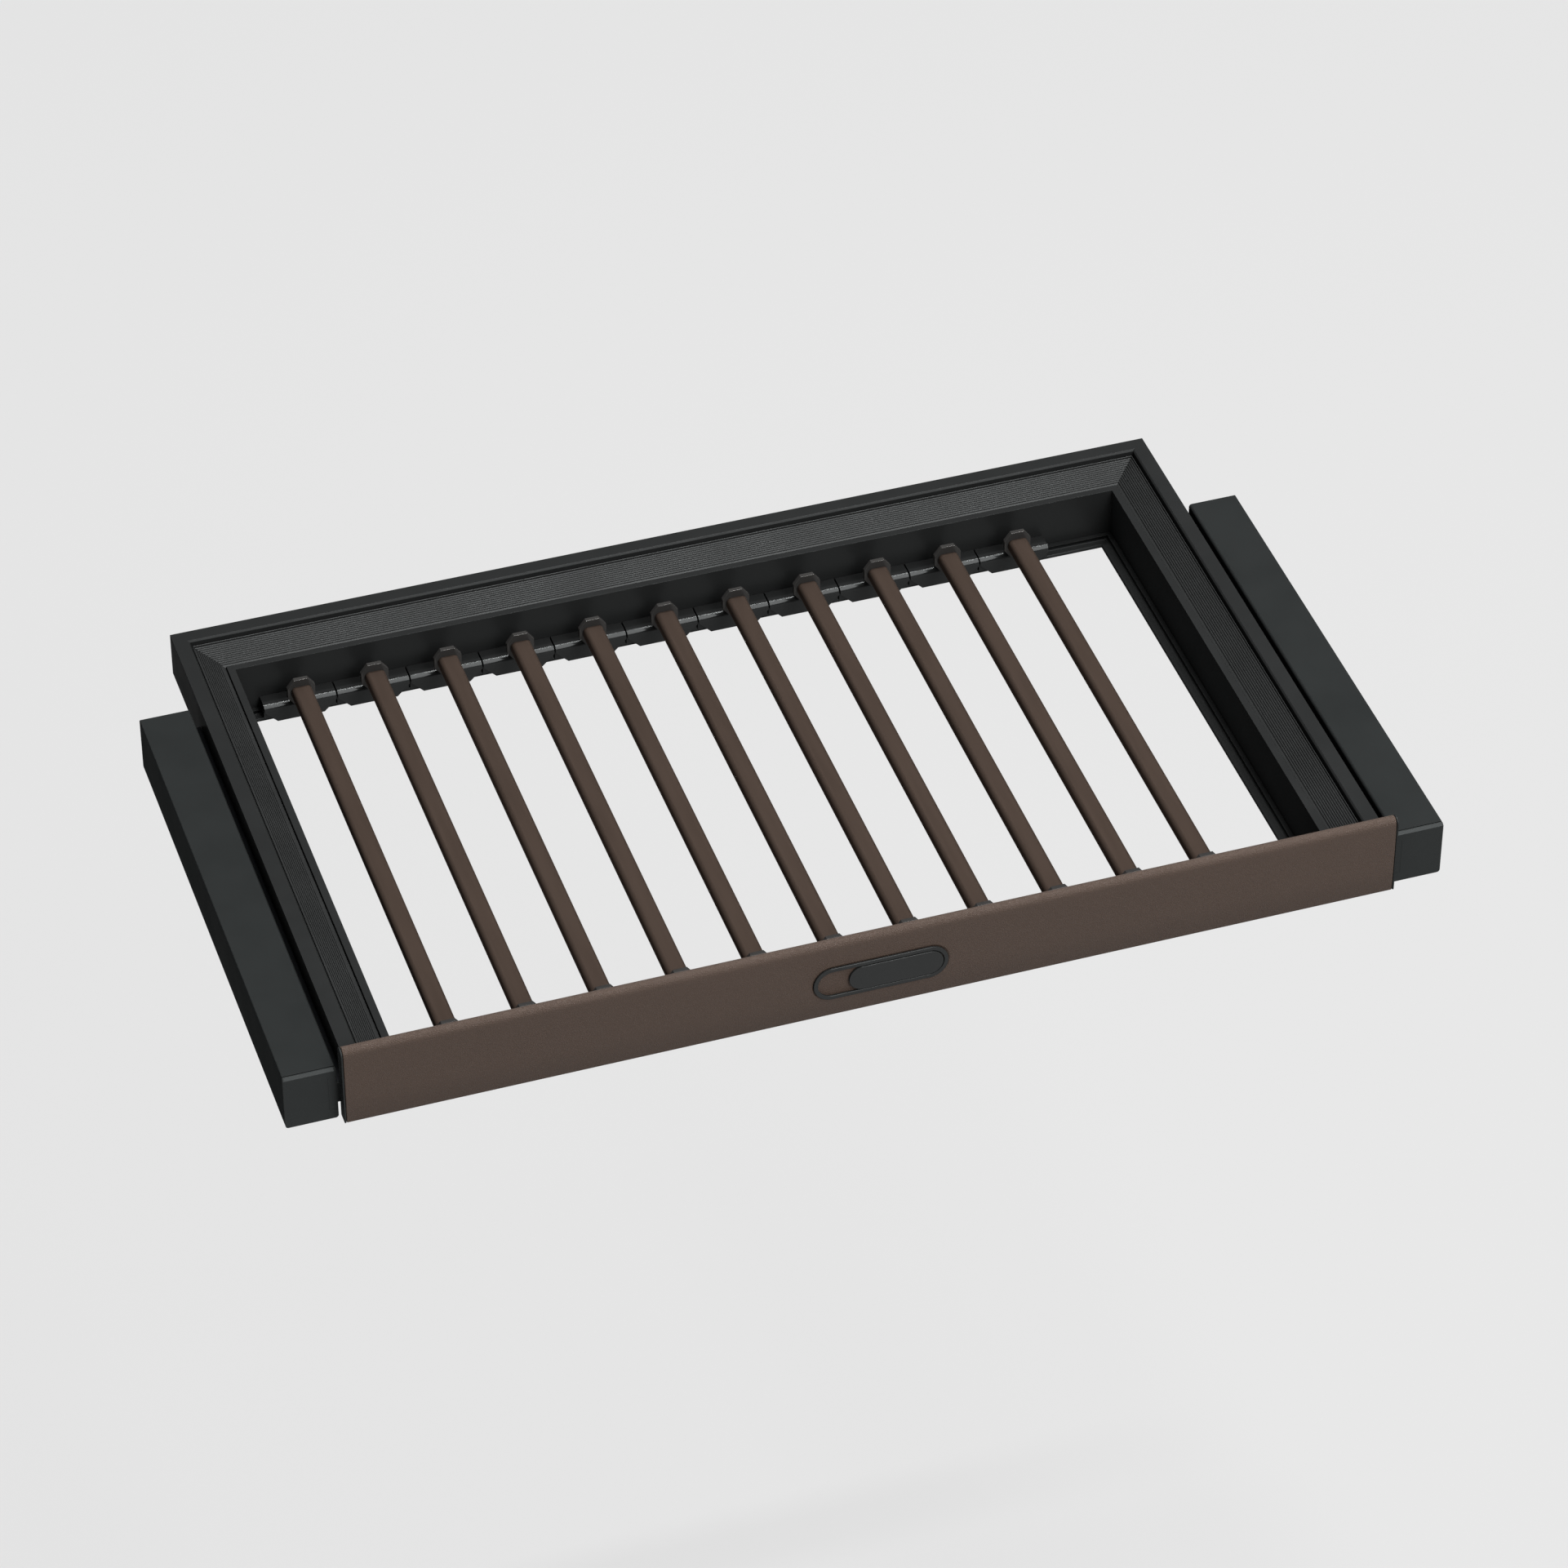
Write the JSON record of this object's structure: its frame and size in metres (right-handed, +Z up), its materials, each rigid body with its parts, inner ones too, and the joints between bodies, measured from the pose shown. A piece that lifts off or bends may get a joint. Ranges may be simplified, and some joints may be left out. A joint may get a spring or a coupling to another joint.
{
  "type": "pull out trouser rack",
  "caption": "Pull-out wardrobe trouser rack: mitred black frame on ball slides between two side housings, with hanging bars that slide on its ledge and a brown leather fascia.",
  "frame": {"origin": "middle of the rack's footprint, level with the lowest edge of the bar carriers", "axes": "+X to the right across the wardrobe, +Y to the back of the wardrobe, +Z up; the rack pulls out along -Y"},
  "size_m": [0.9632, 0.563, 0.0835],
  "materials": {
    "frame_black": "black satin anodised extrusion",
    "housing_black": "black satin anodised extrusion",
    "black_plastic": "fine matt moulding",
    "carrier_black": "satin moulding, bright along its rounded edge",
    "bar_brown": "brown satin powder coat",
    "ribbed_rubber": "matt, fine ribs",
    "leather_brown": "fine pebbled grain, soft sheen",
    "fibreboard": "raw board",
    "badge_black": "satin",
    "slide_steel": "black zinc",
    "cage_steel": "bright"
  },
  "bodies": {
    "housings": {"left_housing": "housing_black", "right_housing": "housing_black", "left_front_cap": "black_plastic", "right_front_cap": "black_plastic", "left_cabinet_channel": "slide_steel", "right_cabinet_channel": "slide_steel"},
    "frame": {"left_rail": "frame_black", "right_rail": "frame_black", "rear_rail": "frame_black", "front_rail": "frame_black", "left_ribbed_insert": "ribbed_rubber", "right_ribbed_insert": "ribbed_rubber", "rear_ribbed_insert": "ribbed_rubber", "left_drawer_channel": "slide_steel", "right_drawer_channel": "slide_steel", "fascia_board": "fibreboard", "fascia_leather": "leather_brown", "left_fascia_cap": "black_plastic", "right_fascia_cap": "black_plastic", "badge_ring": "badge_black", "badge_plate": "badge_black"},
    "left_middle": {"left_middle_channel": "slide_steel"},
    "left_outer_cage": {"left_outer_ball_cage": "cage_steel"},
    "left_inner_cage": {"left_inner_ball_cage": "cage_steel"},
    "right_middle": {"right_middle_channel": "slide_steel"},
    "right_outer_cage": {"right_outer_ball_cage": "cage_steel"},
    "right_inner_cage": {"right_inner_ball_cage": "cage_steel"},
    "hanger_01": {"bar_01": "bar_brown", "front_carrier_01": "carrier_black", "rear_carrier_01": "carrier_black"},
    "hanger_02": {"bar_02": "bar_brown", "front_carrier_02": "carrier_black", "rear_carrier_02": "carrier_black"},
    "hanger_03": {"bar_03": "bar_brown", "front_carrier_03": "carrier_black", "rear_carrier_03": "carrier_black"},
    "hanger_04": {"bar_04": "bar_brown", "front_carrier_04": "carrier_black", "rear_carrier_04": "carrier_black"},
    "hanger_05": {"bar_05": "bar_brown", "front_carrier_05": "carrier_black", "rear_carrier_05": "carrier_black"},
    "hanger_06": {"bar_06": "bar_brown", "front_carrier_06": "carrier_black", "rear_carrier_06": "carrier_black"},
    "hanger_07": {"bar_07": "bar_brown", "front_carrier_07": "carrier_black", "rear_carrier_07": "carrier_black"},
    "hanger_08": {"bar_08": "bar_brown", "front_carrier_08": "carrier_black", "rear_carrier_08": "carrier_black"},
    "hanger_09": {"bar_09": "bar_brown", "front_carrier_09": "carrier_black", "rear_carrier_09": "carrier_black"},
    "hanger_10": {"bar_10": "bar_brown", "front_carrier_10": "carrier_black", "rear_carrier_10": "carrier_black"},
    "hanger_11": {"bar_11": "bar_brown", "front_carrier_11": "carrier_black", "rear_carrier_11": "carrier_black"}
  },
  "joints": [
    {"name": "rack_slide", "type": "slide", "parent": "housings", "child": "frame", "axis": [0, -1, 0], "range_m": [0, 0.45]},
    {"name": "left_middle_slide", "type": "slide", "parent": "housings", "child": "left_middle", "axis": [0, -1, 0], "range_m": [0, 0.225]},
    {"name": "left_outer_cage_slide", "type": "slide", "parent": "housings", "child": "left_outer_cage", "axis": [0, -1, 0], "range_m": [0, 0.1125]},
    {"name": "left_inner_cage_slide", "type": "slide", "parent": "housings", "child": "left_inner_cage", "axis": [0, -1, 0], "range_m": [0, 0.3375]},
    {"name": "right_middle_slide", "type": "slide", "parent": "housings", "child": "right_middle", "axis": [0, -1, 0], "range_m": [0, 0.225]},
    {"name": "right_outer_cage_slide", "type": "slide", "parent": "housings", "child": "right_outer_cage", "axis": [0, -1, 0], "range_m": [0, 0.1125]},
    {"name": "right_inner_cage_slide", "type": "slide", "parent": "housings", "child": "right_inner_cage", "axis": [0, -1, 0], "range_m": [0, 0.3375]},
    {"name": "hanger_01_slide", "type": "slide", "parent": "frame", "child": "hanger_01", "axis": [1, 0, 0], "range_m": [0, 0.0045]},
    {"name": "hanger_02_slide", "type": "slide", "parent": "frame", "child": "hanger_02", "axis": [1, 0, 0], "range_m": [0, 0.009]},
    {"name": "hanger_03_slide", "type": "slide", "parent": "frame", "child": "hanger_03", "axis": [1, 0, 0], "range_m": [0, 0.0135]},
    {"name": "hanger_04_slide", "type": "slide", "parent": "frame", "child": "hanger_04", "axis": [1, 0, 0], "range_m": [0, 0.018]},
    {"name": "hanger_05_slide", "type": "slide", "parent": "frame", "child": "hanger_05", "axis": [1, 0, 0], "range_m": [0, 0.0225]},
    {"name": "hanger_06_slide", "type": "slide", "parent": "frame", "child": "hanger_06", "axis": [1, 0, 0], "range_m": [0, 0.027]},
    {"name": "hanger_07_slide", "type": "slide", "parent": "frame", "child": "hanger_07", "axis": [1, 0, 0], "range_m": [0, 0.0315]},
    {"name": "hanger_08_slide", "type": "slide", "parent": "frame", "child": "hanger_08", "axis": [1, 0, 0], "range_m": [0, 0.036]},
    {"name": "hanger_09_slide", "type": "slide", "parent": "frame", "child": "hanger_09", "axis": [1, 0, 0], "range_m": [0, 0.0405]},
    {"name": "hanger_10_slide", "type": "slide", "parent": "frame", "child": "hanger_10", "axis": [1, 0, 0], "range_m": [0, 0.045]},
    {"name": "hanger_11_slide", "type": "slide", "parent": "frame", "child": "hanger_11", "axis": [1, 0, 0], "range_m": [0, 0.0495]}
  ],
  "couplings": [
    {"joint": "left_middle_slide", "follows": "rack_slide", "ratio": 0.5},
    {"joint": "left_outer_cage_slide", "follows": "rack_slide", "ratio": 0.25},
    {"joint": "left_inner_cage_slide", "follows": "rack_slide", "ratio": 0.75},
    {"joint": "right_middle_slide", "follows": "rack_slide", "ratio": 0.5},
    {"joint": "right_outer_cage_slide", "follows": "rack_slide", "ratio": 0.25},
    {"joint": "right_inner_cage_slide", "follows": "rack_slide", "ratio": 0.75},
    {"joint": "hanger_01_slide", "follows": "hanger_11_slide", "ratio": 0.090909},
    {"joint": "hanger_02_slide", "follows": "hanger_11_slide", "ratio": 0.18182},
    {"joint": "hanger_03_slide", "follows": "hanger_11_slide", "ratio": 0.27273},
    {"joint": "hanger_04_slide", "follows": "hanger_11_slide", "ratio": 0.36364},
    {"joint": "hanger_05_slide", "follows": "hanger_11_slide", "ratio": 0.45454},
    {"joint": "hanger_06_slide", "follows": "hanger_11_slide", "ratio": 0.54546},
    {"joint": "hanger_07_slide", "follows": "hanger_11_slide", "ratio": 0.63636},
    {"joint": "hanger_08_slide", "follows": "hanger_11_slide", "ratio": 0.72727},
    {"joint": "hanger_09_slide", "follows": "hanger_11_slide", "ratio": 0.81818},
    {"joint": "hanger_10_slide", "follows": "hanger_11_slide", "ratio": 0.90909}
  ]
}
